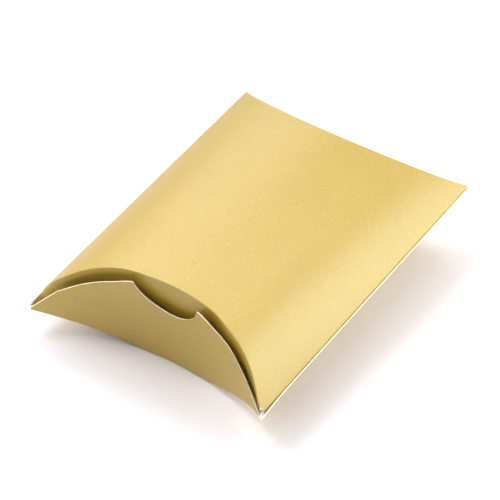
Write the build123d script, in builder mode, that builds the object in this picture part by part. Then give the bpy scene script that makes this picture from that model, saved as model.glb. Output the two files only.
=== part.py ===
import os
from math import radians, sqrt, tan

from build123d import *

os.makedirs("parts", exist_ok=True)

# Driving dimensions of the box, in millimetres and degrees
width = 65.0                # across the box, from the side fold to the seam's cut edge
length = 92.0               # along a side edge, from corner to corner
height = 25.0               # from the table to the crown of the top panel
near_corner_height = 10.0   # height of the two corners at the near end, the outer flap's crown there
card = 0.35                 # thickness of the card
shoulder_inset = 18.3       # from a side edge to the shoulder where a panel's curve gets tighter
shoulder_drop = 1.5         # of the shoulder from the crown
rest_width = 8.0            # flattened strip under the bottom panel's crown, on which the box lies
outer_recess = 12.5         # of an outer flap's crease from the line between its corners
inner_recess = 11.3         # of an inner flap's crease from the same line
outer_lean = 6.5            # of an outer flap, outward from its crease
inner_lean = 14.0           # of an inner flap, inward from its crease
outer_reach = 13.5          # of an outer flap's free edge past the line between the corners
inner_reach = 6.0           # of an inner flap's free edge past the same line, without its relief
notch_width = 17.6          # thumb notch in an outer flap's free edge, between its lips
notch_depth = 6.6           # below the free edge's crown
notch_flare = 1.5           # of the notch's oval centre past its lips, so that its sides open outward
notch_lip_radius = 0.5
relief_depth = 5.0          # shallow finger relief in an inner flap's free edge
relief_radius = 77.0
inner_tip_drop = 1.3        # of an inner flap's free edge at the side edges, back from the same line
flap_tip_trim = 1.8         # of each flap's pointed tips, in from the side edges
crease_gap = 0.12           # between a panel's end and the root of its flap
fold_leg = 1.0              # of a side fold, on both sides of its bend
fold_radius = 0.55          # outside of a side fold
seam_inset = 0.9            # of the seam fold behind the bottom panel's cut edge
tab_width = 11.0            # glue tab, folded in from the top panel
tab_setback = 5.0           # of the tab's ends from the corners, at its fold
tab_taper = 9.0             # further setback at the tab's free edge
glue = 0.08                 # thickness of the glue line
glue_margin = 1.5           # of the glue line inside the tab's edges
film_gap = 0.01             # on both faces of the glue line
seat_gap = 0.02             # between a fold and the panels it joins

half = width / 2
far_corner_height = height - near_corner_height
shoulder_x = half - shoulder_inset
tab_depth = card + glue + 2 * film_gap
outer_sag = outer_recess - near_corner_height * tan(radians(outer_lean))
inner_sag = inner_recess + far_corner_height * tan(radians(inner_lean))
outer_slope = (0, -tan(radians(outer_lean)), 1)
inner_slope = (0, -tan(radians(inner_lean)), 1)
near_plane = Plane.XZ.offset(length / 2)
far_plane = Plane.XZ.offset(-length / 2)


# Point a distance back from an arc's end, set in to the arc's left
def back_from_end(arc, distance, depth=0.0):
    along = arc % (1 - distance / arc.length)
    return (arc @ (1 - distance / arc.length)) + Vector(-along.Y, along.X) * depth


# Lines of the cross-section at one end, with the corners at a height; the seam's pieces keep their share
# of the seam's curve from one end to the other
def section(corner_height, seam_curve=0.0):
    left, right = Vector(-half, corner_height), Vector(half, corner_height)
    crown = ThreePointArc(
        (-shoulder_x, height - shoulder_drop), (0, height), (shoulder_x, height - shoulder_drop)
    )
    base = Line((-rest_width / 2, 0), (rest_width / 2, 0))
    base_left = TangentArc(base @ 0, (-shoulder_x, shoulder_drop), tangent=(-1, 0))
    base_right = TangentArc(base @ 1, (shoulder_x, shoulder_drop), tangent=(1, 0))
    low_left = TangentArc(base_left @ 1, left, tangent=base_left % 1)
    low_right = TangentArc(base_right @ 1, right, tangent=base_right % 1)
    share = low_right.length / (seam_curve or low_right.length)
    seam = back_from_end(low_right, seam_inset * share, tab_depth)
    high_left = TangentArc(crown @ 0, left, tangent=-(crown % 0))
    high_right = TangentArc(crown @ 1, seam, tangent=crown % 1)
    fold_top = back_from_end(high_left, fold_leg)
    fold_low = back_from_end(low_left, fold_leg)
    seam_top = back_from_end(high_right, fold_leg)
    tab_start, tab_end = seam_inset + fold_leg, seam_inset + tab_width
    glue_start, glue_end = tab_start + glue_margin, tab_end - glue_margin

    def inside_arc(start, end, depth):
        middle = (start + end) / 2
        return ThreePointArc(*(back_from_end(low_right, at * share, depth) for at in (end, middle, start)))

    tab = inside_arc(tab_start, tab_end, tab_depth)
    return {
        "top": [
            TangentArc(crown @ 1, seam_top, tangent=crown % 1),
            crown,
            TangentArc(crown @ 0, fold_top, tangent=-(crown % 0)),
        ],
        "bottom": [
            TangentArc(base_left @ 1, fold_low, tangent=base_left % 1),
            base_left,
            base,
            base_right,
            low_right,
        ],
        "fold": [FilletPolyline(back_from_end(high_left, fold_leg - seat_gap), left,
                                back_from_end(low_left, fold_leg - seat_gap), radius=fold_radius)],
        "seam": [FilletPolyline(back_from_end(low_right, (tab_start - seat_gap) * share, tab_depth), seam,
                                back_from_end(high_right, fold_leg - seat_gap), radius=fold_radius)],
        "tab": [tab],
        "seam_curve": low_right.length,
        "glue": [inside_arc(glue_start, glue_end, card + film_gap)],
        "outline": [crown, high_left, low_left, base_left, base, base_right, low_right,
                    TangentArc(crown @ 1, right, tangent=crown % 1)],
    }


near = section(near_corner_height)
far = section(far_corner_height, near["seam_curve"])


# Closed band of card, or of glue, inside a line of the cross-section at both ends
def bands(line, thickness):
    faces = []
    for plane, lines in ((near_plane, near), (far_plane, far)):
        with BuildSketch(plane) as band:
            with BuildLine():
                add(lines[line])
                offset(amount=thickness, side=Side.LEFT)
            make_face()
        faces.append(band.sketch)
    return faces


# Curve of a flap seen from above, at the height of its corners; end is -1 near and 1 far
def flap_curve(end, sag, crown_height):
    drop = sag * shoulder_drop / crown_height
    shoulder_y = end * (length / 2 - sag + drop)
    crown = ThreePointArc(
        (-shoulder_x, shoulder_y), (0, end * (length / 2 - sag)), (shoulder_x, shoulder_y)
    )
    left = TangentArc(crown @ 0, (-half, end * length / 2), tangent=-(crown % 0))
    right = TangentArc(crown @ 1, (half, end * length / 2), tangent=crown % 1)
    return [left, crown, right]


def corner_plane(end):
    return Plane.XY.offset(near_corner_height if end < 0 else far_corner_height)


# Band of card along a flap's curve
def flap_band(end, sag, crown_height):
    with BuildSketch(corner_plane(end)) as band:
        with BuildLine():
            add(flap_curve(end, sag, crown_height))
            offset(amount=card, side=Side.LEFT if end < 0 else Side.RIGHT)
        make_face()
    return band.sketch


# All that lies outside a panel's end at its crease
def beyond_crease(end, sag, crown_height):
    with BuildSketch(corner_plane(end)) as beyond:
        with BuildLine() as line:
            add(flap_curve(end, sag, crown_height))
            offset(amount=card + crease_gap, side=Side.LEFT if end < 0 else Side.RIGHT, closed=False)
            tips = line.vertices().sort_by(Axis.X)
            Polyline(tips[0], (-width, end * length), (width, end * length), tips[-1])
        make_face()
    return beyond.sketch


# Front view of a flap: rise is 1 for a flap that stands on the bottom panel, -1 for one that hangs
def flap_outline(end, rise, reach, tip_drop, notched):
    corner = near_corner_height if end < 0 else far_corner_height
    edge, tip, root = corner + rise * reach, corner - rise * tip_drop, corner - 2 * rise * height
    side = half - flap_tip_trim
    with BuildSketch(Plane.XZ) as outline:
        with BuildLine():
            free = ThreePointArc((-half, tip), (0, edge), (half, tip))
            Polyline(free @ 0, (-half, root), (half, root), free @ 1)
        make_face()
        with Locations((0, height / 2)):
            Rectangle(2 * side, 6 * height, mode=Mode.INTERSECT)
        if notched:
            edge_radius = (half**2 + reach**2) / (2 * reach)
            lip_fall = edge_radius - sqrt(edge_radius**2 - notch_width**2 / 4)
            notch_rise = notch_depth - lip_fall + notch_flare
            notch_half = notch_width / 2 / sqrt(1 - (notch_flare / notch_rise)**2)
            with Locations((0, edge + rise * (notch_flare - lip_fall))):
                Ellipse(notch_half, notch_rise, mode=Mode.SUBTRACT)
            lips = outline.vertices().filter_by_position(Axis.X, -notch_width / 2 - 0.1, notch_width / 2 + 0.1)
            lips = lips.sort_by(Axis.Y, reverse=rise > 0)[:2]
            fillet(lips, radius=notch_lip_radius)
        else:
            with Locations((0, edge + rise * (relief_radius - relief_depth))):
                Circle(relief_radius, mode=Mode.SUBTRACT)
    return outline.sketch


# Full outer volume of the closed sleeve, used to end the flaps flush with the panels
with BuildPart() as envelope:
    outlines = []
    for end_plane, end_lines in ((near_plane, near), (far_plane, far)):
        with BuildSketch(end_plane) as end_outline:
            with BuildLine():
                add(end_lines["outline"])
            make_face()
        outlines.append(end_outline.sketch)
    loft(outlines, ruled=True)

# Top panel, arched between the side edges
with BuildPart() as top_panel:
    loft(bands("top", card), ruled=True)
    extrude(beyond_crease(-1, inner_sag, far_corner_height), amount=2 * height, dir=inner_slope,
            both=True, mode=Mode.SUBTRACT)
    extrude(beyond_crease(1, outer_sag, near_corner_height), amount=2 * height, dir=outer_slope,
            both=True, mode=Mode.SUBTRACT)
top_panel.part.label = "top_panel"
export_step(top_panel.part, "parts/top_panel.step")

# Bottom panel, flattened where it lies on the table, with a raw cut edge along the seam
with BuildPart() as bottom_panel:
    loft(bands("bottom", card), ruled=True)
    extrude(beyond_crease(-1, outer_sag, near_corner_height), amount=2 * height, dir=outer_slope,
            both=True, mode=Mode.SUBTRACT)
    extrude(beyond_crease(1, inner_sag, far_corner_height), amount=2 * height, dir=inner_slope,
            both=True, mode=Mode.SUBTRACT)
bottom_panel.part.label = "bottom_panel"
export_step(bottom_panel.part, "parts/bottom_panel.step")

# Fold along the left side edge, between the two panels
with BuildPart() as side_fold:
    loft(bands("fold", card), ruled=True)
side_fold.part.label = "side_fold"
export_step(side_fold.part, "parts/side_fold.step")

# Fold along the right side edge, between the top panel and its glue tab
with BuildPart() as seam_fold:
    loft(bands("seam", card), ruled=True)
    for end in (-1, 1):
        extrude(beyond_crease(end, inner_sag, far_corner_height), amount=2 * height, dir=inner_slope,
                both=True, mode=Mode.SUBTRACT)
seam_fold.part.label = "seam_fold"
export_step(seam_fold.part, "parts/seam_fold.step")

# Glue tab inside the bottom panel, with tapered ends
with BuildPart() as glue_tab:
    loft(bands("tab", card), ruled=True)
    with BuildSketch() as tab_outline:
        tab_root = half - seam_inset
        tab_y = length / 2 - tab_setback
        with BuildLine():
            Polyline(
                (half, -tab_y), (half, tab_y), (tab_root, tab_y),
                (tab_root - tab_width, tab_y - tab_taper), (tab_root - tab_width, tab_taper - tab_y),
                (tab_root, -tab_y), close=True,
            )
        make_face()
    extrude(amount=height, mode=Mode.INTERSECT)
glue_tab.part.label = "glue_tab"
export_step(glue_tab.part, "parts/glue_tab.step")

# Glue line between the tab and the bottom panel
with BuildPart() as glue_line:
    loft(bands("glue", glue), ruled=True)
    with BuildSketch():
        Rectangle(2 * width, length - 2 * (tab_setback + tab_taper + glue_margin))
    extrude(amount=height, mode=Mode.INTERSECT)
glue_line.part.label = "glue_line"
export_step(glue_line.part, "parts/glue_line.step")

# Near outer flap, standing on the bottom panel's crease, with the thumb notch
with BuildPart() as near_outer_flap:
    extrude(flap_band(-1, outer_sag, near_corner_height), amount=2 * height, dir=outer_slope, both=True)
    extrude(flap_outline(-1, 1, outer_reach, 0, True), amount=length, both=True, mode=Mode.INTERSECT)
    add(envelope.part, mode=Mode.INTERSECT)
near_outer_flap.part.label = "near_outer_flap"
export_step(near_outer_flap.part, "parts/near_outer_flap.step")

# Near inner flap, hanging from the top panel's crease behind the outer one
with BuildPart() as near_inner_flap:
    extrude(flap_band(-1, inner_sag, far_corner_height), amount=2 * height, dir=inner_slope, both=True)
    extrude(flap_outline(-1, -1, inner_reach, inner_tip_drop, False), amount=length, both=True, mode=Mode.INTERSECT)
    add(envelope.part, mode=Mode.INTERSECT)
near_inner_flap.part.label = "near_inner_flap"
export_step(near_inner_flap.part, "parts/near_inner_flap.step")

# Far outer flap, hanging from the top panel's crease, with its own thumb notch
with BuildPart() as far_outer_flap:
    extrude(flap_band(1, outer_sag, near_corner_height), amount=2 * height, dir=outer_slope, both=True)
    extrude(flap_outline(1, -1, outer_reach, 0, True), amount=length, both=True, mode=Mode.INTERSECT)
    add(envelope.part, mode=Mode.INTERSECT)
far_outer_flap.part.label = "far_outer_flap"
export_step(far_outer_flap.part, "parts/far_outer_flap.step")

# Far inner flap, standing on the bottom panel's crease behind the outer one
with BuildPart() as far_inner_flap:
    extrude(flap_band(1, inner_sag, far_corner_height), amount=2 * height, dir=inner_slope, both=True)
    extrude(flap_outline(1, 1, inner_reach, inner_tip_drop, False), amount=length, both=True, mode=Mode.INTERSECT)
    add(envelope.part, mode=Mode.INTERSECT)
far_inner_flap.part.label = "far_inner_flap"
export_step(far_inner_flap.part, "parts/far_inner_flap.step")
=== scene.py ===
import math

import bpy
import numpy as np
from mathutils import Matrix, Vector


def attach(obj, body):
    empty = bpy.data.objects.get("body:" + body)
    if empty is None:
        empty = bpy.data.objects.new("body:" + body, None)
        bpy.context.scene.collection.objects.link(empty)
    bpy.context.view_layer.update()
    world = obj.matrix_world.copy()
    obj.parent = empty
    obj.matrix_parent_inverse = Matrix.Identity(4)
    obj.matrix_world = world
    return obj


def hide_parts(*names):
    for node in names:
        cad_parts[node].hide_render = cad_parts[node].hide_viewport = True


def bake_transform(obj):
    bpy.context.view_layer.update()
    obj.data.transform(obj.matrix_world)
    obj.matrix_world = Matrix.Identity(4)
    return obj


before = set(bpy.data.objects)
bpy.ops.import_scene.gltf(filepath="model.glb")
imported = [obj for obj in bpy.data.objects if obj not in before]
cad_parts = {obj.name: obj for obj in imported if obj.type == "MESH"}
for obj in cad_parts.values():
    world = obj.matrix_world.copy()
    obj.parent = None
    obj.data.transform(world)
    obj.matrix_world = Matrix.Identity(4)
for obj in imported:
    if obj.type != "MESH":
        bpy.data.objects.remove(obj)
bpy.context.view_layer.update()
print("frame loaded,", len(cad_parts), "card and glue pieces")

mm = 0.001      # all sizes below are in millimetres, and Blender's are in metres

# sizes of the folded blank
box = {
    "halfWidth": 32.5,
    "halfLength": 46.0,
    "height": 25.0,
    "nearCorner": 10.0,     # height of the corners at each end
    "farCorner": 15.0,
    "shoulderX": 14.2,      # where a panel's curve gets tighter
    "shoulderDrop": 1.5,
    "restHalf": 4.0,        # flat strip under the bottom panel
    "card": 0.28,           # as it shows at a cut, where the coating is drawn over the edge
    "creaseReach": 0.3,     # how far a crease's bend runs into the card on both sides
    "foldReach": 0.7,
    "seamLip": (0.11, 0.1),    # the bottom panel's cut edge stands out and up past the fold line
}
ends = {"near": (-1, box["nearCorner"]), "far": (1, box["farCorner"])}


# Adds a node; a value may be a number, a socket, or another node, which stands for its first live output
def addNode(tree, kind, values=None, **settings):
    node = tree.nodes.new(kind)
    for key, value in settings.items():
        setattr(node, key, value)
    for key, value in (values or {}).items():
        if isinstance(value, bpy.types.Node):
            value = next(out for out in value.outputs if out.enabled)
        if isinstance(value, bpy.types.NodeSocket):
            tree.links.new(value, node.inputs[key])
        else:
            node.inputs[key].default_value = value
    return node


def linear(hexColour):
    parts = [int(hexColour[i:i + 2], 16) / 255 for i in (1, 3, 5)]
    return [c / 12.92 if c <= 0.04045 else ((c + 0.055) / 1.055) ** 2.4 for c in parts] + [1.0]


noiseLow, noiseHigh = 0.3, 0.7      # most of a noise texture's values lie between these


def newMaterial(name):
    material = bpy.data.materials.new(name)
    material.use_nodes = True
    tree = material.node_tree
    return material, tree, tree.nodes["Principled BSDF"]


# Pearl-coated card: a mica coating rolled on smooth board. It gives a deep brownish body colour, a broad
# satin sheen of a paler and cooler tone over it, and a fine speckle of flakes.
goldCard = {
    "light": "#C29E2A",
    "dark": "#AA8A1C",
    "sheen": (0.87, 1.0, 0.86, 1.0),
    "ior": 2.04,            # mica flakes reflect more than plain varnish
    "roughness": 0.42,
    "roughnessSpread": 0.05,
    "flakeSize": 0.4,       # mm; real flakes are near 0.05 and would not show
    "mottleSize": 9.0,      # mm, clouding of the coating
    "mottleShare": 0.12,
    "bumpDepth": 0.05,      # mm
}


def makeGoldCard():
    material, tree, shader = newMaterial("pearlGoldCard")
    place = addNode(tree, "ShaderNodeTexCoord").outputs["Object"]
    flakes = addNode(tree, "ShaderNodeTexNoise", {
        "Vector": place, "Scale": 1000 / goldCard["flakeSize"], "Detail": 2.0, "Roughness": 0.6})
    mottle = addNode(tree, "ShaderNodeTexNoise", {
        "Vector": place, "Scale": 1000 / goldCard["mottleSize"], "Detail": 3.0, "Roughness": 0.5})
    both = addNode(tree, "ShaderNodeMix", {
        "Factor": goldCard["mottleShare"], "A": flakes, "B": mottle}, data_type="FLOAT")
    shade = addNode(tree, "ShaderNodeMapRange", {"Value": both, "From Min": noiseLow, "From Max": noiseHigh})
    colour = addNode(tree, "ShaderNodeMix", {
        "Factor": shade, "A": linear(goldCard["dark"]), "B": linear(goldCard["light"])}, data_type="RGBA")
    tree.links.new(colour.outputs[2], shader.inputs["Base Color"])
    gloss = addNode(tree, "ShaderNodeMapRange", {
        "Value": flakes, "From Min": noiseLow, "From Max": noiseHigh,
        "To Min": goldCard["roughness"] - goldCard["roughnessSpread"],
        "To Max": goldCard["roughness"] + goldCard["roughnessSpread"]})
    tree.links.new(gloss.outputs["Result"], shader.inputs["Roughness"])
    bump = addNode(tree, "ShaderNodeBump", {
        "Strength": 0.12, "Distance": goldCard["bumpDepth"] * mm, "Height": flakes})
    tree.links.new(bump.outputs["Normal"], shader.inputs["Normal"])
    shader.inputs["IOR"].default_value = goldCard["ior"]
    shader.inputs["Specular Tint"].default_value = goldCard["sheen"]
    return material


# Uncoated board: matt, faintly warm, with a soft fibre cloud
whiteBoard = {"light": "#F7F4EC", "dark": "#EDE8DC", "roughness": 0.8, "fibreSize": 0.6, "bumpDepth": 0.05}

# Raw die-cut edge of the board: cream core with crushed fibres
cutBoard = {"light": "#FFF7E0", "dark": "#F8E9C6", "roughness": 0.9, "fibreSize": 0.18, "bumpDepth": 0.1}

# Dried white glue: clouded, a little glossy
driedGlue = {"light": "#EFE9D6", "dark": "#DDD3B4", "roughness": 0.32, "fibreSize": 2.0, "bumpDepth": 0.1}


def makeBoard(name, look):
    material, tree, shader = newMaterial(name)
    place = addNode(tree, "ShaderNodeTexCoord").outputs["Object"]
    fibres = addNode(tree, "ShaderNodeTexNoise", {
        "Vector": place, "Scale": 1000 / look["fibreSize"], "Detail": 4.0, "Roughness": 0.65})
    shade = addNode(tree, "ShaderNodeMapRange", {"Value": fibres, "From Min": noiseLow, "From Max": noiseHigh})
    colour = addNode(tree, "ShaderNodeMix", {
        "Factor": shade, "A": linear(look["dark"]), "B": linear(look["light"])}, data_type="RGBA")
    tree.links.new(colour.outputs[2], shader.inputs["Base Color"])
    bump = addNode(tree, "ShaderNodeBump", {
        "Strength": 0.25, "Distance": look["bumpDepth"] * mm, "Height": fibres})
    tree.links.new(bump.outputs["Normal"], shader.inputs["Normal"])
    shader.inputs["Roughness"].default_value = look["roughness"]
    shader.inputs["IOR"].default_value = 1.45     # paper fibre and dried glue alike
    return material


cardFaces = [
    makeGoldCard(),
    makeBoard("uncoatedWhiteBoard", whiteBoard),
    makeBoard("dieCutBoardEdge", cutBoard),
]
goldFace, whiteFace, cutFace = 0, 1, 2
glueMaterial = makeBoard("driedWhiteGlue", driedGlue)
print("materials made")


# Points at shares of the arc that leaves start at an angle and ends at finish, and the angle it ends at
def turnArc(start, angle, finish, share):
    dx, dz = finish[0] - start[0], finish[1] - start[1]
    half = math.atan2(dz, dx) - angle
    if abs(half) < 1e-9:
        return np.stack([start[0] + dx * share, start[1] + dz * share], -1), angle
    radius = math.hypot(dx, dz) / (2 * math.sin(half))
    turned = angle + 2 * half * share
    points = np.stack([start[0] + radius * (np.sin(turned) - math.sin(angle)),
                       start[1] - radius * (np.cos(turned) - math.cos(angle))], -1)
    return points, angle + 2 * half


# Half a section as arcs through knots, from the middle out: place counts the arcs passed
def throughKnots(knots, place):
    points, angle = np.zeros((len(place), 2)), 0.0
    for i, (start, finish) in enumerate(zip(knots, knots[1:])):
        part, angle = turnArc(start, angle, finish, np.clip(place - i, 0, 1))
        points[place >= i] = part[place >= i]
    return points


# The right half of a panel's section at one end
def sectionKnots(panel, end):
    if panel == "top":
        return [(0, box["height"]), (box["shoulderX"], box["height"] - box["shoulderDrop"]), seamPoint(end)]
    cutEdge = (box["halfWidth"] + box["seamLip"][0], ends[end][1] + box["seamLip"][1])
    return [(0, 0), (box["restHalf"], 0), (box["shoulderX"], box["shoulderDrop"]), cutEdge]


# A panel's section at one end: place is below 0 left of the middle and above 0 right of it
def sectionPoints(panel, end, place):
    knots = sectionKnots(panel, end)
    foldEdge = (box["halfWidth"], ends[end][1])
    points = throughKnots(knots, np.abs(place))
    mirrored = throughKnots(knots[:-1] + [foldEdge], np.abs(place))
    points[place < 0] = mirrored[place < 0] * (-1, 1)
    return points


# A point inside the bottom panel, measured back from its cut edge along the section
def insideBottom(end, back, depth):
    steps, probe = 20, 0.05     # steps that the line runs on straight past the edge; mm to each side of a point
    fine = throughKnots(sectionKnots("bottom", end), np.linspace(2, 3, 400))
    fine = np.concatenate([fine, [(steps + 1) * fine[-1] - steps * fine[-2]]])
    run = np.concatenate([[0], np.cumsum(np.hypot(*np.diff(fine, axis=0).T))])
    at = run[-2] - np.asarray(back, float)
    spot = np.stack([np.interp(at, run, fine[:, i]) for i in (0, 1)], -1)
    ahead = np.stack([np.interp(at + probe, run, fine[:, i]) for i in (0, 1)], -1)
    behind = np.stack([np.interp(at - probe, run, fine[:, i]) for i in (0, 1)], -1)
    along = ahead - behind
    along /= np.linalg.norm(along, axis=-1, keepdims=True)
    return spot + depth * np.stack([-along[..., 1], along[..., 0]], -1)


seam = {
    "inset": {"near": 0.06, "far": -0.2},   # of the seam fold behind the bottom panel's cut edge
    "depth": 0.31,          # of the tab's outside below the bottom panel's outside
    "tabWidth": 11.0,
    "tabSetback": 5.0,
    "tabTaper": 9.0,
}


def seamPoint(end):
    return tuple(insideBottom(end, seam["inset"][end], seam["depth"]))


def onRulings(panel, place):
    lines = []
    for end in ("near", "far"):
        across = sectionPoints(panel, end, place)
        y = np.full(len(place), ends[end][0] * box["halfLength"])
        lines.append(np.stack([across[:, 0], y, across[:, 1]], -1))
    return lines


# An outer flap has the oval thumb notch in its free edge; an inner flap has a shallow finger relief
outerFlap = {
    "recess": 12.5, "lean": 6.5, "reach": 13.5, "crown": 10.0, "crownSign": -1,
    "notchWidth": 17.6, "notchDepth": 6.6, "notchFlare": 1.5, "lipRadius": 0.3,
    "notchShift": -0.3, "notchSkew": 0.12, "notchSag": 0.4,     # the notch sits a little off and askew
    "sagDepths": (1.0, 5.0), "sagAcross": (-4.0, 3.0),
    "edgeFall": 0.75, "edgeFallTo": 14.5,       # the free edge falls off past the lips of the notch
    "tipFall": 0.8, "tipFrom": -26.5, "tipRun": 4.5,    # and more at its left tip
    "dipAt": 27.0, "dipHalf": 9.0, "dip": 1.8,  # and is lower towards its right tip
    "nicks": (-26.6, 25.2), "nickHeight": 0.25, "nickHalf": 0.3,    # burrs where the sheet held the blank
    "edgePoints": 90, "notchPoints": 34, "lipPoints": 9,
}
innerFlap = {
    "bow": 1.3,             # the near one's free edge lies this much further forward, on its outer flap
    "recess": 11.3, "lean": 14.0, "reach": 6.0, "crown": 15.0, "crownSign": 1,
    "tipDrop": 1.3, "reliefDepth": 5.0, "reliefRadius": 77.0,
}
shortest = 0.15             # mm, least length of a flap at its tips
closest = 1e-6              # mm, least way between two columns of a sheet


# Depth of a flap's surface at a place across the box and a height
def flapY(flap, end, x, z):
    sign, corner = ends[end]
    slope = math.tan(math.radians(flap["lean"]))
    sag = flap["recess"] + flap["crownSign"] * flap["crown"] * slope
    shoulder, side = box["shoulderX"], box["halfWidth"]
    drop = sag * box["shoulderDrop"] / flap["crown"]
    radius = (shoulder**2 + drop**2) / (2 * drop)
    out = np.minimum(np.abs(x), side)
    middle = sag - radius + np.sqrt(np.maximum(radius**2 - out**2, 0))
    angle = math.atan2(-shoulder, radius - drop)
    run, fall = side - shoulder, -(sag - drop)
    bend = math.hypot(run, fall) / (2 * math.sin(angle - math.atan2(fall, run)))
    cx, cy = shoulder + bend * math.sin(angle), sag - drop - bend * math.cos(angle)
    flank = cy + np.sqrt(np.maximum(bend**2 - (out - cx)**2, 0))
    return sign * (box["halfLength"] - np.where(out < shoulder, middle, flank)) - slope * (z - corner)


# Where the rulings of a panel meet a flap
def creaseLine(flap, end, nearLine, farLine):
    share = np.full(len(nearLine), 0.0 if end == "near" else 1.0)
    for _ in range(6):
        spot = nearLine + share[:, None] * (farLine - nearLine)
        share = (flapY(flap, end, spot[:, 0], spot[:, 2]) / box["halfLength"] + 1) / 2
    return nearLine + share[:, None] * (farLine - nearLine)


# The notched edge from tip to tip: places across the box and reach past the corners' level
def notchedEdge():
    flap = outerFlap
    side, reach = box["halfWidth"], flap["reach"]
    radius = (side**2 + reach**2) / (2 * reach)
    lipX = flap["notchWidth"] / 2
    lipFall = radius - math.sqrt(radius**2 - lipX**2)
    ovalRise = flap["notchDepth"] - lipFall + flap["notchFlare"]
    ovalHalf = lipX / math.sqrt(1 - (flap["notchFlare"] / ovalRise)**2)
    turn = np.linspace(math.asin(side / radius), math.asin(lipX / radius), flap["edgePoints"])
    edge = np.stack([radius * np.sin(turn), reach - radius + radius * np.cos(turn)], -1)
    turn = np.linspace(math.asin(flap["notchFlare"] / ovalRise), math.pi / 2, flap["notchPoints"])
    oval = np.stack([ovalHalf * np.cos(turn),
                     reach - lipFall + flap["notchFlare"] - ovalRise * np.sin(turn)], -1)
    lip = edge[-1]
    edge = edge[np.linalg.norm(edge - lip, axis=1) > flap["lipRadius"]]
    oval = oval[np.linalg.norm(oval - lip, axis=1) > flap["lipRadius"]]
    share = np.linspace(0, 1, flap["lipPoints"])[1:-1, None]
    rounded = edge[-1] * (1 - share)**2 + lip * 2 * share * (1 - share) + oval[0] * share**2
    half = np.concatenate([edge, rounded, oval])
    return np.concatenate([half[:-1] * (-1, 1), half[::-1]])


def easeIn(value, start, finish):
    share = np.clip((value - start) / (finish - start), 0, 1)
    return share**2 * (3 - 2 * share)


# The near flap's edge as it came out of folding and use
def wornEdge(edge):
    side, flap = box["halfWidth"], outerFlap
    lipX = flap["notchWidth"] / 2
    x, z = edge[:, 0], edge[:, 1]
    depth = np.where(np.abs(x) < lipX, np.maximum(z[np.abs(x) > lipX].max() - z, 0), 0)
    fade = np.clip((side - np.abs(x)) / (side - lipX), 0, 1)
    newX = x + flap["notchShift"] * fade + flap["notchSkew"] * depth
    hollow = np.clip(1 - ((x - flap["dipAt"]) / flap["dipHalf"])**2, 0, 1)**2
    newZ = z - flap["edgeFall"] * easeIn(np.abs(x), lipX, flap["edgeFallTo"]) - flap["dip"] * hollow
    newZ = newZ - flap["tipFall"] * np.clip((flap["tipFrom"] - x) / flap["tipRun"], 0, 1)
    newZ = newZ - flap["notchSag"] * easeIn(depth, *flap["sagDepths"]) * easeIn(x, *flap["sagAcross"])
    for nick in flap["nicks"]:
        newZ = newZ + flap["nickHeight"] * np.exp(-((x - nick) / flap["nickHalf"])**2)
    return np.stack([newX, newZ], -1)


# The crease places that the notched edge's points fan out from, so that no column folds over
def fannedPlaces(edge, reachOut=14.0):
    run = np.concatenate([[0], np.cumsum(np.hypot(*np.diff(edge, axis=0).T))])
    first, last = (np.interp(s * reachOut, edge[:, 0], run) for s in (-1, 1))
    spread = -reachOut + 2 * reachOut * (run - first) / (last - first)
    return np.where(np.abs(edge[:, 0]) < reachOut, spread, edge[:, 0])


def innerEdge(end, rise, x):
    corner, side, flap = ends[end][1], box["halfWidth"], innerFlap
    total = flap["reach"] + flap["tipDrop"]
    radius = (side**2 + total**2) / (2 * total)
    edge = flap["reach"] - radius + np.sqrt(radius**2 - x**2)
    relief = flap["reach"] - flap["reliefDepth"] + flap["reliefRadius"]
    relief = relief - np.sqrt(flap["reliefRadius"]**2 - x**2)
    return corner + rise * np.minimum(edge, relief)


lineNames = ("start", "startIn", "startOut", "finish", "finishIn", "finishOut")


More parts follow.
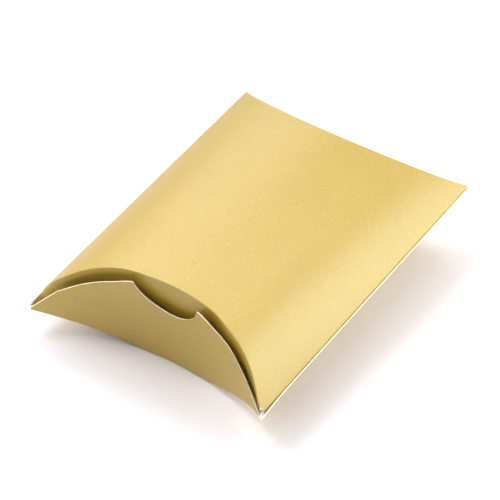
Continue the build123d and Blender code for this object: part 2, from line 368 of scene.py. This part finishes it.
# One sheet of card laid between a start line and a finish line by a rule: straight between them, with a bend
# at each line that leads towards the neighbour across it
def makeSheetTree():
    tree = bpy.data.node_groups.new("cardSheet", "GeometryNodeTree")
    face = tree.interface
    face.new_socket("Geometry", in_out="INPUT", socket_type="NodeSocketGeometry")
    for name, kind in (
        ("Start Bend Rows", "Int"), ("Flat Rows", "Int"), ("Finish Bend Rows", "Int"),
        ("Start Share", "Float"), ("Finish Share", "Float"),
        ("Corner", "Vector"), ("Corner Move", "Vector"), ("Corner Reach", "Float"), ("Outside", "Material"),
    ):
        face.new_socket(name, in_out="INPUT", socket_type="NodeSocket" + kind)
    face.new_socket("Geometry", in_out="OUTPUT", socket_type="NodeSocketGeometry")
    given = addNode(tree, "NodeGroupInput").outputs
    line = given["Geometry"]
    columns = addNode(tree, "GeometryNodeAttributeDomainSize", {"Geometry": line})
    bentRows = addNode(tree, "ShaderNodeMath", {
        0: given["Start Bend Rows"], 1: given["Flat Rows"]}, operation="ADD")
    lastRow = addNode(tree, "ShaderNodeMath", {0: bentRows, 1: given["Finish Bend Rows"]}, operation="ADD")
    rows = addNode(tree, "ShaderNodeMath", {0: lastRow, 1: 1.0}, operation="ADD")
    grid = addNode(tree, "GeometryNodeMeshGrid", {"Vertices X": columns, "Vertices Y": rows})
    index = addNode(tree, "GeometryNodeInputIndex")
    column = addNode(tree, "FunctionNodeIntegerMath", {0: index, 1: rows}, operation="DIVIDE_FLOOR")
    row = addNode(tree, "FunctionNodeIntegerMath", {0: index, 1: rows}, operation="MODULO")
    rowLeft = addNode(tree, "ShaderNodeMath", {0: lastRow, 1: row}, operation="SUBTRACT")
    place = {}
    for name in lineNames:
        field = addNode(tree, "GeometryNodeInputNamedAttribute", {"Name": name}, data_type="FLOAT_VECTOR")
        place[name] = addNode(tree, "GeometryNodeSampleIndex", {
            "Geometry": line, "Value": field, "Index": column}, data_type="FLOAT_VECTOR")
    inward, outward = [], []
    for end, steps in (("Start", row), ("Finish", rowLeft)):
        # share of the bend that lies between this row and the bend's inner end
        bendRows = addNode(tree, "ShaderNodeMath", {0: given[end + " Bend Rows"], 1: 1.0}, operation="MAXIMUM")
        gone = addNode(tree, "ShaderNodeMath", {0: steps, 1: bendRows}, operation="DIVIDE")
        left = addNode(tree, "ShaderNodeMath", {0: 1.0, 1: gone}, operation="SUBTRACT", use_clamp=True)
        bend = addNode(tree, "ShaderNodeMath", {0: left, 1: given[end + " Share"]}, operation="MULTIPLY")
        rest = addNode(tree, "ShaderNodeMath", {0: 1.0, 1: bend}, operation="SUBTRACT")
        restSquare = addNode(tree, "ShaderNodeMath", {0: rest, 1: rest}, operation="MULTIPLY")
        bendSquare = addNode(tree, "ShaderNodeMath", {0: bend, 1: bend}, operation="MULTIPLY")
        name = end.lower()
        inward.append(addNode(tree, "ShaderNodeVectorMath", {
            0: place[name + "In"], 1: restSquare, 2: place[name]}, operation="MULTIPLY_ADD"))
        outward.append(addNode(tree, "ShaderNodeVectorMath", {
            0: place[name + "Out"], 1: bendSquare}, operation="MULTIPLY"))
    flatRow = addNode(tree, "ShaderNodeMath", {0: row, 1: given["Start Bend Rows"]}, operation="SUBTRACT")
    flatRows = addNode(tree, "ShaderNodeMath", {0: given["Flat Rows"], 1: 1.0}, operation="MAXIMUM")
    across = addNode(tree, "ShaderNodeMath", {0: flatRow, 1: flatRows}, operation="DIVIDE", use_clamp=True)
    spot = addNode(tree, "ShaderNodeMix", {"Factor": across, 4: inward[0], 5: inward[1]}, data_type="VECTOR")
    for bend in outward:
        spot = addNode(tree, "ShaderNodeVectorMath", {0: spot, 1: bend}, operation="ADD")
    # a corner that gives way
    away = addNode(tree, "ShaderNodeVectorMath", {0: spot, 1: given["Corner"]}, operation="DISTANCE")
    away = addNode(tree, "ShaderNodeMath", {0: away, 1: given["Corner Reach"]}, operation="DIVIDE")
    close = addNode(tree, "ShaderNodeMath", {0: 1.0, 1: away}, operation="SUBTRACT", use_clamp=True)
    close = addNode(tree, "ShaderNodeMath", {0: close, 1: close}, operation="MULTIPLY")
    spot = addNode(tree, "ShaderNodeVectorMath", {
        0: given["Corner Move"], 1: close, 2: spot}, operation="MULTIPLY_ADD")
    sheet = addNode(tree, "GeometryNodeSetPosition", {"Geometry": grid, "Position": spot})
    whole = addNode(tree, "GeometryNodeRealizeInstances", {"Geometry": sheet})
    coated = addNode(tree, "GeometryNodeSetMaterial", {"Geometry": whole, "Material": given["Outside"]})
    addNode(tree, "NodeGroupOutput", {"Geometry": coated})
    return tree


sheetTree = makeSheetTree()


def bakeMesh(piece):
    graph = bpy.context.evaluated_depsgraph_get()
    graph.update()
    baked = bpy.data.meshes.new_from_object(piece.evaluated_get(graph))
    old = piece.data
    piece.modifiers.clear()
    piece.data = baked
    bpy.data.meshes.remove(old)
    baked.name = piece.name
    return baked


sharpAngle = math.radians(40)       # keeps the card's cut edges crisp


# A card piece from its lines in millimetres; joined names the sides that go on into a neighbour
def makeSheet(name, lines, rows, joined, shares=(0.5, 0.5), corner=None, rawFrom=math.inf, bend=None):
    count, rowCount = len(lines["start"]), sum(rows) + 1
    mesh = bpy.data.meshes.new(name)
    mesh.from_pydata([tuple(p) for p in lines["start"] * mm], [(i, i + 1) for i in range(count - 1)], [])
    for key in lineNames:
        value = lines.get(key, np.zeros((count, 3))) * mm
        mesh.attributes.new(key, "FLOAT_VECTOR", "POINT").data.foreach_set(
            "vector", np.ascontiguousarray(value, np.float32).ravel())
    piece = bpy.data.objects.new(name, mesh)
    bpy.context.scene.collection.objects.link(piece)
    nodes = piece.modifiers.new("cardSheet", "NODES")
    nodes.node_group = sheetTree
    corner = corner or {"place": (0, 0, 0), "move": (0, 0, 0), "reach": 1.0}
    sockets = {i.name: i.identifier for i in sheetTree.interface.items_tree if i.in_out == "INPUT"}
    for key, value in (
        ("Start Bend Rows", rows[0]), ("Flat Rows", rows[1]), ("Finish Bend Rows", rows[2]),
        ("Start Share", shares[0]), ("Finish Share", shares[1]),
        ("Corner", [c * mm for c in corner["place"]]), ("Corner Move", [c * mm for c in corner["move"]]),
        ("Corner Reach", corner["reach"] * mm), ("Outside", cardFaces[goldFace]),
    ):
        nodes[sockets[key]] = value
    mesh = bakeMesh(piece)
    if bend:
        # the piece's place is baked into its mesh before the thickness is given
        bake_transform(piece)
    for material in cardFaces[1:]:
        mesh.materials.append(material)
    wall = piece.modifiers.new("cardThickness", "SOLIDIFY")
    wall.thickness, wall.offset = box["card"] * mm, -1.0
    wall.material_offset, wall.material_offset_rim = whiteFace, cutFace
    mesh = bakeMesh(piece)
    # the rim is raw board, but gold where the card goes on into a neighbour
    for polygon in mesh.polygons:
        polygon.use_smooth = True
        if polygon.material_index == cutFace:
            column, row = np.divmod(np.array(polygon.vertices) % (count * rowCount), rowCount)
            onSide = {"start": not row.any(), "finish": (row == rowCount - 1).all(),
                      "left": not column.any(), "right": (column == count - 1).all()}
            raw = onSide["start"] and polygon.center.x > rawFrom * mm
            if any(onSide[side] for side in joined) and not raw:
                polygon.material_index = goldFace
    mesh.set_sharp_from_angle(angle=sharpAngle)
    return piece


def unit(vectors):
    return vectors / np.maximum(np.linalg.norm(vectors, axis=-1, keepdims=True), 1e-9)


# The share of a section's last arc that the side fold takes up
def foldShare(panel, end, rightSide):
    place = np.linspace(1, 3, 800)
    knots = 3 if panel == "bottom" else 2
    fine = sectionPoints(panel, end, place * (1 if rightSide else -1))
    lastArc = fine[(place >= knots - 1) & (place <= knots)]
    return box["foldReach"] / np.hypot(*np.diff(lastArc, axis=0).T).sum()


# A flap stays on its panel along the crease and bends out from there: where that starts, which way it goes and
# how far
flapBend = {
    "outer": {"at": 33.5, "normal": (0.625, 0.781), "reach": 14.0},
    "inner": {"at": 34.7, "normal": (0.799, -0.602), "reach": 8.0},
}


def bendOut(end, kind):
    flip, bend = -ends[end][0], flapBend[kind]
    height = 0.0 if (kind == "outer") == (end == "near") else box["height"]
    start = Vector((0, -flip * bend["at"], height)) * mm
    reach = Vector((0, flip * bend["normal"][0], flip * bend["normal"][1])) * bend["reach"] * mm
    return {"b": f"{end}_{kind}", "start": start, "end": start + reach}


# The bottom panel gives way a little towards its near left corner: places across the box and drop
nearGive = {"from": -13.0, "to": -30.0, "drop": 1.25}


# A panel with the flap at each end of it: lines shared by the three sheets, so that they meet at the creases
def panelLines(panel):
    outerEnd, innerEnd = ("near", "far") if panel == "bottom" else ("far", "near")
    rise = 1 if panel == "bottom" else -1
    knots = 3 if panel == "bottom" else 2
    leftEnd = -(knots - foldShare(panel, "near", False))
    rightEnd = knots if panel == "bottom" else knots - foldShare(panel, "near", True)
    edge = notchedEdge()
    fine = np.linspace(leftEnd, rightEnd, 4000)
    fineCrease = creaseLine(outerFlap, outerEnd, *onRulings(panel, fine))
    wanted = np.clip(fannedPlaces(edge), fineCrease[0, 0], fineCrease[-1, 0])
    keep = np.concatenate([[True], np.diff(wanted) > closest])
    edge, wanted = edge[keep], wanted[keep]
    place = np.interp(wanted, fineCrease[:, 0], fine)
    nearLine, farLine = onRulings(panel, place)
    outer = creaseLine(outerFlap, outerEnd, nearLine, farLine)
    inner = creaseLine(innerFlap, innerEnd, nearLine, farLine)
    if outerEnd == "near":
        edge = wornEdge(edge)
        outer[:, 2] -= nearGive["drop"] * easeIn(outer[:, 0], nearGive["from"], nearGive["to"])
    edgeX = np.clip(edge[:, 0], outer[0, 0], outer[-1, 0])
    edgeZ = ends[outerEnd][1] + rise * edge[:, 1]
    edgeZ = rise * np.maximum(rise * edgeZ, rise * outer[:, 2] + shortest)
    outerFree = np.stack([edgeX, flapY(outerFlap, outerEnd, edgeX, edgeZ), edgeZ], -1)
    innerX = inner[:, 0]
    edgeZ = rise * np.maximum(rise * innerEdge(innerEnd, rise, innerX), rise * inner[:, 2] + shortest)
    innerFree = np.stack([innerX, flapY(innerFlap, innerEnd, innerX, edgeZ), edgeZ], -1)
    return {"outer": outer, "inner": inner, "outerFree": outerFree, "innerFree": innerFree}


# Bend vectors at a crease, kept short where the flap is short: into the panel and into the flap
def creaseBends(crease, otherEnd, free, reach, flapShare=0.4):
    reach = np.minimum(reach, flapShare * np.linalg.norm(free - crease, axis=1))[:, None]
    return unit(otherEnd - crease) * reach, unit(free - crease) * reach


# Near right corner: the top panel is cut off short there, and the bottom panel hangs a little lower
seamCorner = {"place": (box["halfWidth"], -box["halfLength"], box["nearCorner"]),
              "move": (0.2, 0.0, -0.7), "reach": 12.0, "trimFrom": 31.4, "trim": 1.3}
# Near left corner: the top panel's crease runs out on the side fold before the corner, and the inner flap is
# pushed in there; the side fold ends a little short of the flaps' tips
foldCorner = {"trimFrom": -24.0, "trim": 6.5, "trimCurve": 2.2, "flapPush": 0.5, "pushCurve": 6,
              "dip": 2.6, "dipFull": 0.3, "tipDip": 0.8, "tipCurve": 14, "pinch": 0.3, "short": 1.0}
# Far left corner: the side fold goes on past the top panel's crease
foldTip = 1.2
# The top panel's near crease comes further forward right of the notch, and no more at the right corner,
creaseLead = {"from": 12.0, "to": 18.0, "lead": 0.8, "fadeFrom": 29.5, "goneAt": 32.0}
# has a slight kink left of the notch,
creaseKink = {"at": -12.0, "half": 4.0, "rise": 0.3}
# and is crisp on the left and softer on the right
creaseSoft = {"from": -2.0, "to": 14.0, "crisp": 0.15, "soft": 0.45}
# how finely the sheets are divided
sheetRows = {"bend": 6, "panel": 64, "outerFlap": 30, "innerFlap": 24, "fold": 10,
             "tab": 40, "tabColumns": 24}
pieces = {}
folds = {}
for panel in ("top", "bottom"):
    lines = panelLines(panel)
    outer, inner = lines["outer"], lines["inner"]
    names = ("far", "near") if panel == "top" else ("near", "far")
    whole, rawFrom, uncut, innerReach = slice(None), math.inf, 1.0, box["creaseReach"]
    if panel == "top":
        x, along = inner[:, 0], unit(outer - inner)
        rightCut = np.clip((x - seamCorner["trimFrom"]) / (x[-1] - seamCorner["trimFrom"]), 0, 1)
        leftCut = np.clip((x - foldCorner["trimFrom"]) / (x[0] - foldCorner["trimFrom"]), 0, 1)
        lead = along * (creaseLead["lead"] * easeIn(x, creaseLead["from"], creaseLead["to"])
                        * easeIn(x, creaseLead["goneAt"], creaseLead["fadeFrom"]))[:, None]
        pushed = along * (foldCorner["trim"] * leftCut**foldCorner["trimCurve"])[:, None]
        atTip = leftCut**foldCorner["tipCurve"]
        beforeTip = (1 - leftCut**foldCorner["pushCurve"])[:, None]
        free = lines["innerFree"] - lead + pushed * foldCorner["flapPush"] * beforeTip
        free[:, 2] -= foldCorner["dip"] * (1 - atTip) * np.minimum(leftCut / foldCorner["dipFull"], 1)
        free[:, 2] -= foldCorner["tipDip"] * atTip
        free[:, 1] -= innerFlap["bow"] * (1 - (x / box["halfWidth"])**2)
        lines["innerFree"] = free
        inner = inner - lead + pushed + along * (rightCut * seamCorner["trim"])[:, None]
        inner[:, 2] += creaseKink["rise"] * np.exp(-((x - creaseKink["at"]) / creaseKink["half"])**2)
        innerReach = creaseSoft["crisp"] + (creaseSoft["soft"] - creaseSoft["crisp"]) * easeIn(
            x, creaseSoft["from"], creaseSoft["to"])
        # right of the cut the inner flap is missing and the crease is a raw edge
        uncut = (rightCut == 0)[:, None]
        whole, rawFrom = slice(0, np.count_nonzero(uncut) + 1), seamCorner["trimFrom"]
    outerIn, outerOut = creaseBends(outer, inner, lines["outerFree"], box["creaseReach"])
    innerIn, innerOut = (uncut * bend for bend in creaseBends(inner, outer, lines["innerFree"], innerReach))
    corner = seamCorner if panel == "bottom" else None
    # rows run from the inner flap's end to the outer one's on both panels, so faces point outwards
    pieces[panel + "Panel"] = makeSheet(
        panel + "Panel",
        {"start": inner, "startIn": innerIn, "startOut": innerOut,
         "finish": outer, "finishIn": outerIn, "finishOut": outerOut},
        (sheetRows["bend"], sheetRows["panel"], sheetRows["bend"]),
        ("start", "finish", "left", "right") if panel == "top" else ("start", "finish", "left"),
        corner=corner, rawFrom=rawFrom)
    pieces[names[0] + "OuterFlap"] = makeSheet(
        names[0] + "OuterFlap",
        {"start": outer, "startIn": outerOut, "startOut": outerIn, "finish": lines["outerFree"]},
        (sheetRows["bend"], sheetRows["outerFlap"], 0), ("start",),
        corner=corner, bend=bendOut(names[0], "outer"))
    pieces[names[1] + "InnerFlap"] = makeSheet(
        names[1] + "InnerFlap",
        {"start": lines["innerFree"][whole], "finish": inner[whole], "finishIn": innerOut[whole],
         "finishOut": innerIn[whole]},
        (0, sheetRows["innerFlap"], sheetRows["bend"]), ("finish",), bend=bendOut(names[1], "inner"))
    for side, at in (("left", 0), ("right", -1)):
        folds[panel + side] = [line[at] for line in ((inner, outer) if panel == "top" else (outer, inner))]
print("panels and flaps made")


# The fold along the left edge, and the seam fold along the right one, round off the line where two sheets meet
def foldStrip(name, edge, first, last):
    return makeSheet(
        name, {"start": edge, "startIn": last - edge, "startOut": first - edge, "finish": last},
        (sheetRows["fold"], 0, 0), ("start", "finish", "left", "right"), (1.0, 0.5))


def between(line):
    return line[0] + np.linspace(0, 1, sheetRows["panel"])[:, None] * (line[1] - line[0])


side, length = box["halfWidth"], box["halfLength"]
leftEdge = between([np.array([-side, foldCorner["short"] - length, box["nearCorner"] - nearGive["drop"] / 2]),
                    np.array([-side, length + foldTip, box["farCorner"]])])
# the fold's upper line goes on past the top panel's crease, pinched in towards the near corner
topLeft, bottomLeft = folds["topleft"], folds["bottomleft"]
leftTop = between([topLeft[0] - (foldCorner["trim"] - foldCorner["short"]) * unit(topLeft[1] - topLeft[0]),
                   topLeft[1] + (0, foldTip, 0)])
pinch = foldCorner["pinch"] * np.clip((topLeft[0][1] - leftTop[:, 1]) / foldCorner["trim"], 0, 1)[:, None]
leftTop = leftTop + pinch * (leftEdge - leftTop)
leftBottom = between([bottomLeft[0] + (0, foldCorner["short"], 0), bottomLeft[1] + (0, foldTip, 0)])
pieces["sideFold"] = foldStrip("sideFold", leftEdge, leftTop, leftBottom)
# at the near corner the inner flap's coated side lies in the fold
for polygon in pieces["sideFold"].data.polygons:
    if polygon.center.y < topLeft[0][1] * mm:
        polygon.material_index = goldFace

rightTop = folds["topright"]
seamLine, tabRoot = [], []
for i, end in enumerate(("near", "far")):
    y = rightTop[i][1]
    share = (y / length + 1) / 2
    for target, back in ((seamLine, 0.0), (tabRoot, box["foldReach"])):
        spots = [insideBottom(e, seam["inset"][e] + back, seam["depth"]) for e in ("near", "far")]
        x, z = spots[0] + share * (spots[1] - spots[0])
        target.append(np.array([x, y, z]))
pieces["seamFold"] = foldStrip("seamFold", between(seamLine), between(tabRoot), between(rightTop))

tabShare = np.linspace(0, 1, sheetRows["tabColumns"])
backs = seam["tabWidth"] + tabShare * (box["foldReach"] - seam["tabWidth"])
tabLines = []
for end in ("near", "far"):
    across = insideBottom(end, seam["inset"][end] + backs, seam["depth"])
    y = np.full(len(tabShare), ends[end][0] * length)
    tabLines.append(np.stack([across[:, 0], y, across[:, 1]], -1))
tabEnd = (length - seam["tabSetback"] - seam["tabTaper"] * (1 - tabShare)) / length
tabFar = tabLines[0] + ((1 + tabEnd) / 2)[:, None] * (tabLines[1] - tabLines[0])
tabNear = tabLines[0] + ((1 - tabEnd) / 2)[:, None] * (tabLines[1] - tabLines[0])
pieces["glueTab"] = makeSheet(
    "glueTab", {"start": tabFar, "finish": tabNear}, (0, sheetRows["tab"], 0), ("right",))
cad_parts["glue_line"].data.materials.clear()
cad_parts["glue_line"].data.materials.append(glueMaterial)
print("folds, tab and glue made")

for name, node in (("topPanel", "top_panel"), ("bottomPanel", "bottom_panel"), ("sideFold", "side_fold"),
                   ("seamFold", "seam_fold"), ("glueTab", "glue_tab")):
    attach(pieces[name], "sleeve")
    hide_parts(node)

for end in ("near", "far"):
    for kind in ("outer", "inner"):
        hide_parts(f"{end}_{kind}_flap")

# Camera of the photograph: a long lens from the front right; angles in degrees, focal length in pixels of the
# frame, scale in pixels to the millimetre at the aim
camera = {"azimuth": 31.784, "elevation": 41.029, "roll": 2.532, "focal": 2941.0, "scale": 4.210,
          "aim": (0, 0, 12.5), "aimPixel": (252.882, 245.040), "frame": 500,
          "sensor": 36.0, "clip": (50, 20000)}


def makeCamera():
    azimuth, elevation, roll = (math.radians(camera[k]) for k in ("azimuth", "elevation", "roll"))
    back = Vector((math.sin(azimuth) * math.cos(elevation), -math.cos(azimuth) * math.cos(elevation),
                   math.sin(elevation)))
    right = Vector((math.cos(azimuth), math.sin(azimuth), 0))
    up = back.cross(right)
    right, up = (math.cos(roll) * right + math.sin(roll) * up, math.cos(roll) * up - math.sin(roll) * right)
    middle = camera["frame"] / 2
    place = Vector(camera["aim"]) + back * camera["focal"] / camera["scale"]
    place -= right * (camera["aimPixel"][0] - middle) / camera["scale"]
    place -= up * (middle - camera["aimPixel"][1]) / camera["scale"]
    lens = bpy.data.cameras.new("longLens")
    lens.sensor_width = camera["sensor"]
    lens.lens = lens.sensor_width * camera["focal"] / camera["frame"]
    lens.clip_start, lens.clip_end = (clip * mm for clip in camera["clip"])
    eye = bpy.data.objects.new("longLens", lens)
    bpy.context.scene.collection.objects.link(eye)
    eye.matrix_world = Matrix.Translation(place * mm) @ Matrix((right, up, back)).transposed().to_4x4()
    bpy.context.scene.camera = eye


makeCamera()

# White sweep inside a light tent: soft boxes all round, strongest at the right and behind, and two small ones
# close to the near end
studio = {
    "floor": "#F3F1F6",
    "grainSize": 2.5,       # mm, of the paper's tooth, drawn coarse
    "reach": 4000,
    "level": -0.02,         # a hair under the box, so that the two don't share a plane
    "world": 0.01,
    "boxes": {
        # name: place and aim in mm, size in mm, power in watts
        "lowRightBox": ((538, 0, 124), (0, 0, 10), (300, 200), 1.65),
        "lowBackRightBox": ((380, 380, 124), (0, 0, 10), (300, 200), 0.76),
        "lowBackLeftBox": ((-380, 380, 124), (0, 0, 10), (300, 200), 0.31),
        "rightBox": ((450, 0, 327), (0, 0, 10), (300, 260), 0.23),
        "backRightBox": ((318, 318, 327), (0, 0, 10), (300, 260), 1.07),
        "backLeftBox": ((-318, 318, 327), (0, 0, 10), (300, 260), 0.67),
        "leftBox": ((-450, 0, 327), (0, 0, 10), (300, 260), 0.72),
        "frontLeftBox": ((-318, -318, 327), (0, 0, 10), (300, 260), 0.44),
        "highBackBox": ((0, 280, 485), (0, 0, 10), (240, 240), 0.67),
        "highBackRightBox": ((198, 198, 485), (0, 0, 10), (240, 240), 0.24),
        "highBackLeftBox": ((-198, 198, 485), (0, 0, 10), (240, 240), 0.38),
        "closeLeftBox": ((-75, -60, 170), (0, 0, 10), (80, 80), 0.16),
        "closeFrontBox": ((0, -170, 110), (0, -30, 10), (80, 80), 0.05),
    },
}


def makeStudio():
    material, tree, shader = newMaterial("whitePaperSweep")
    place = addNode(tree, "ShaderNodeTexCoord").outputs["Object"]
    grain = addNode(tree, "ShaderNodeTexNoise", {
        "Vector": place, "Scale": 1000 / studio["grainSize"], "Detail": 2.0})
    bump = addNode(tree, "ShaderNodeBump", {"Strength": 0.05, "Distance": 0.1 * mm, "Height": grain})
    tree.links.new(bump.outputs["Normal"], shader.inputs["Normal"])
    shader.inputs["Base Color"].default_value = linear(studio["floor"])
    shader.inputs["Roughness"].default_value = 0.9
    mesh = bpy.data.meshes.new("whiteSweep")
    reach, level = studio["reach"] * mm, studio["level"] * mm
    mesh.from_pydata([(-reach, -reach, level), (reach, -reach, level), (reach, reach, level),
                      (-reach, reach, level)], [], [(0, 1, 2, 3)])
    mesh.materials.append(material)
    sweep = bpy.data.objects.new("whiteSweep", mesh)
    bpy.context.scene.collection.objects.link(sweep)
    world = bpy.data.worlds.new("tent")
    bpy.context.scene.world = world
    world.use_nodes = True
    world.node_tree.nodes["Background"].inputs["Color"].default_value = (1, 1, 1, 1)
    world.node_tree.nodes["Background"].inputs["Strength"].default_value = studio["world"]
    for name, (spot, aim, size, power) in studio["boxes"].items():
        light = bpy.data.lights.new(name, "AREA")
        light.shape, light.size, light.size_y = "RECTANGLE", size[0] * mm, size[1] * mm
        light.energy = power
        lamp = bpy.data.objects.new(name, light)
        bpy.context.scene.collection.objects.link(lamp)
        lamp.visible_camera = False
        lamp.location = Vector(spot) * mm
        lamp.rotation_euler = (Vector(aim) - Vector(spot)).to_track_quat("-Z", "Y").to_euler()
    bpy.context.scene.view_settings.view_transform = "Standard"


makeStudio()
print("camera and light made")
